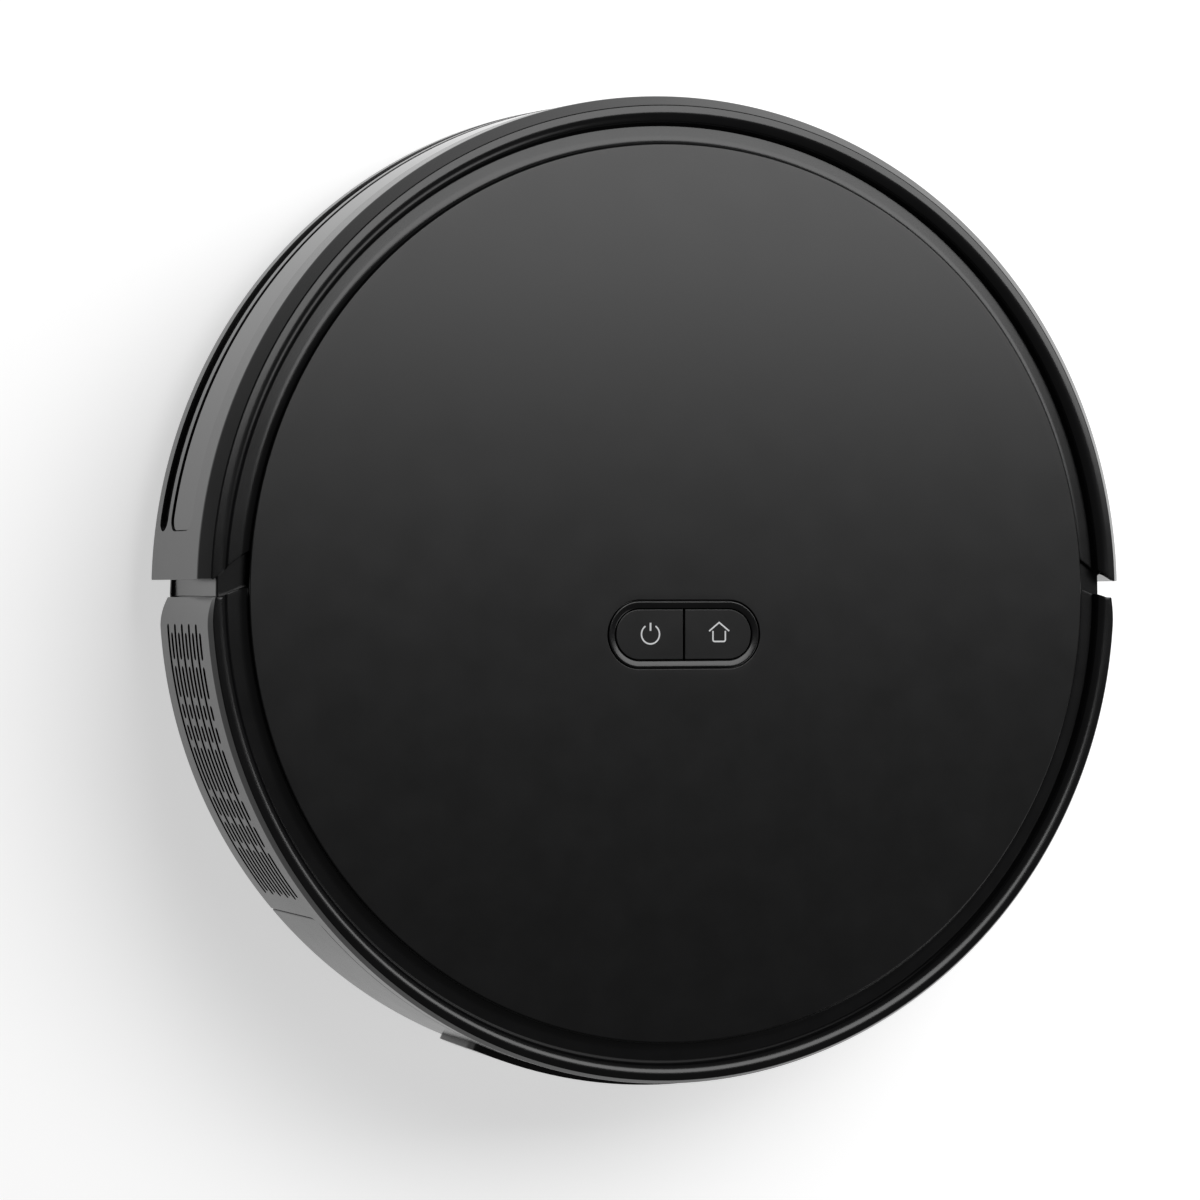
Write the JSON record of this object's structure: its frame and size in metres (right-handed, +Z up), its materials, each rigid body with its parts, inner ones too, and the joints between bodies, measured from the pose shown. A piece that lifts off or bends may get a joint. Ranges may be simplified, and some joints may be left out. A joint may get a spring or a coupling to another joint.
{
  "type": "robot vacuum",
  "caption": "Round low robot floor cleaner with a flat top panel, sprung front bumper, side vents, slide-out rear dust bin, driven wheels, front caster and spinning brushes.",
  "frame": {"origin": "on the floor, under the axis of the round body", "axes": "+Z up, +Y towards the bumper (the front), +X to the right side"},
  "size_m": [0.3296, 0.3272, 0.076],
  "materials": {
    "satin_black": "satin",
    "panel_black": "satin",
    "matte_black": "matte, fine texture",
    "window_black": "gloss",
    "dark_grey": "matte",
    "smoke": "smoked, clear",
    "rubber": "matte",
    "tyre": "matte",
    "steel": "satin",
    "brass": "bright",
    "board": "solder mask",
    "battery": "cell cans in blue shrink film",
    "motor_can": "cast case, satin",
    "filter": "pleated",
    "bristle": "bristle and blade"
  },
  "bodies": {
    "root": {"base_chassis": "matte_black", "upper_housing": "satin_black", "rear_shell": "satin_black", "top_panel": "panel_black", "button_bezel": "satin_black", "control_board": "board", "battery_pack": "battery", "battery_door": "matte_black", "main_board": "board", "dc_jack": "matte_black", "roller_gearbox": "dark_grey", "roller_bearing": "dark_grey", "brush_guard": "satin_black", "fan_housing": "dark_grey", "fan_motor": "steel", "wheel_pivot_pin_left": "steel", "suspension_spring_left": "steel", "bumper_spring_left": "steel", "side_brush_motor_left": "motor_can", "battery_door_screw_left": "steel", "charging_contact_left": "brass", "wheel_pivot_pin_right": "steel", "suspension_spring_right": "steel", "bumper_spring_right": "steel", "side_brush_motor_right": "motor_can", "battery_door_screw_right": "steel", "charging_contact_right": "brass", "cliff_sensor_left": "window_black", "cliff_sensor_front": "window_black", "cliff_sensor_right": "window_black", "base_screw_1": "steel", "base_screw_2": "steel", "base_screw_3": "steel", "base_screw_4": "steel"},
    "bumper": {"bumper": "satin_black", "ir_window": "window_black"},
    "power_button": {"power_button": "panel_black"},
    "home_button": {"home_button": "panel_black"},
    "power_rocker": {"power_rocker": "satin_black"},
    "main_roller": {"main_roller": "bristle"},
    "fan_impeller": {"fan_impeller": "dark_grey"},
    "caster_fork": {"caster_fork": "matte_black", "caster_axle": "steel"},
    "caster_wheel": {"caster_wheel": "rubber"},
    "dust_bin": {"bin_tub": "smoke", "bin_cover": "satin_black", "filter_frame": "matte_black", "hepa_filter": "filter"},
    "bin_button": {"bin_button": "satin_black"},
    "bin_door": {"bin_door": "smoke"},
    "wheel_arm_left": {"wheel_arm_left": "dark_grey"},
    "wheel_left": {"tyre_left": "tyre", "wheel_hub_left": "dark_grey"},
    "side_brush_left": {"side_brush_left": "bristle", "side_brush_screw_left": "steel"},
    "wheel_arm_right": {"wheel_arm_right": "dark_grey"},
    "wheel_right": {"tyre_right": "tyre", "wheel_hub_right": "dark_grey"},
    "side_brush_right": {"side_brush_right": "bristle", "side_brush_screw_right": "steel"}
  },
  "joints": [
    {"name": "bumper_slide", "type": "slide", "parent": "root", "child": "bumper", "axis": [0, -1, 0], "range_m": [0, 0.004], "stiffness_N_per_m": 400, "springref_m": -0.004, "deforming": ["bumper_spring_left", "bumper_spring_right"]},
    {"name": "power_press", "type": "slide", "parent": "root", "child": "power_button", "axis": [0, 0, -1], "range_m": [0, 0.0006], "stiffness_N_per_m": 900, "springref_m": -0.0008},
    {"name": "home_press", "type": "slide", "parent": "root", "child": "home_button", "axis": [0, 0, -1], "range_m": [0, 0.0006], "stiffness_N_per_m": 900, "springref_m": -0.0008},
    {"name": "power_rocker_tilt", "type": "hinge", "parent": "root", "child": "power_rocker", "pos_m": [0.15061, -0.03477, 0.047], "axis": [0, 0, 1], "range_deg": [0, 11]},
    {"name": "main_roller_spin", "type": "hinge", "parent": "root", "child": "main_roller", "pos_m": [0, -0.03, 0.0185], "axis": [1, 0, 0], "continuous": true},
    {"name": "fan_spin", "type": "hinge", "parent": "root", "child": "fan_impeller", "pos_m": [-0.096, -0.0785, 0.03], "axis": [0, 0, 1], "continuous": true},
    {"name": "caster_swivel", "type": "hinge", "parent": "root", "child": "caster_fork", "pos_m": [0, 0.108, 0.03], "axis": [0, 0, 1], "continuous": true},
    {"name": "caster_roll", "type": "hinge", "parent": "caster_fork", "child": "caster_wheel", "pos_m": [0, 0.103, 0.01], "axis": [1, 0, 0], "continuous": true},
    {"name": "bin_slide", "type": "slide", "parent": "root", "child": "dust_bin", "axis": [0, -1, 0], "range_m": [0, 0.14]},
    {"name": "bin_button_press", "type": "slide", "parent": "dust_bin", "child": "bin_button", "axis": [0, 1, 0], "range_m": [0, 0.0025], "stiffness_N_per_m": 900, "springref_m": -0.001},
    {"name": "bin_door_hinge", "type": "hinge", "parent": "dust_bin", "child": "bin_door", "pos_m": [0, -0.062, 0.0193], "axis": [-1, 0, 0], "range_deg": [0, 75]},
    {"name": "suspension_left", "type": "hinge", "parent": "root", "child": "wheel_arm_left", "pos_m": [-0.098, 0.039, 0.03], "axis": [1, 0, 0], "range_deg": [0, 25], "stiffness_Nm_per_rad": 0.2, "springref_deg": 34.38, "deforming": ["suspension_spring_left"]},
    {"name": "wheel_spin_left", "type": "hinge", "parent": "wheel_arm_left", "child": "wheel_left", "pos_m": [-0.118, -0.005, 0.033], "axis": [1, 0, 0], "continuous": true},
    {"name": "side_brush_spin_left", "type": "hinge", "parent": "root", "child": "side_brush_left", "pos_m": [-0.08839, 0.08839, 0.009], "axis": [0, 0, 1], "continuous": true},
    {"name": "suspension_right", "type": "hinge", "parent": "root", "child": "wheel_arm_right", "pos_m": [0.098, 0.039, 0.03], "axis": [1, 0, 0], "range_deg": [0, 25], "stiffness_Nm_per_rad": 0.2, "springref_deg": 34.38, "deforming": ["suspension_spring_right"]},
    {"name": "wheel_spin_right", "type": "hinge", "parent": "wheel_arm_right", "child": "wheel_right", "pos_m": [0.118, -0.005, 0.033], "axis": [1, 0, 0], "continuous": true},
    {"name": "side_brush_spin_right", "type": "hinge", "parent": "root", "child": "side_brush_right", "pos_m": [0.08839, 0.08839, 0.009], "axis": [0, 0, 1], "continuous": true}
  ],
  "couplings": [
    {"joint": "bin_door_hinge", "follows": "bin_slide", "rad_per_m": 9.3}
  ]
}
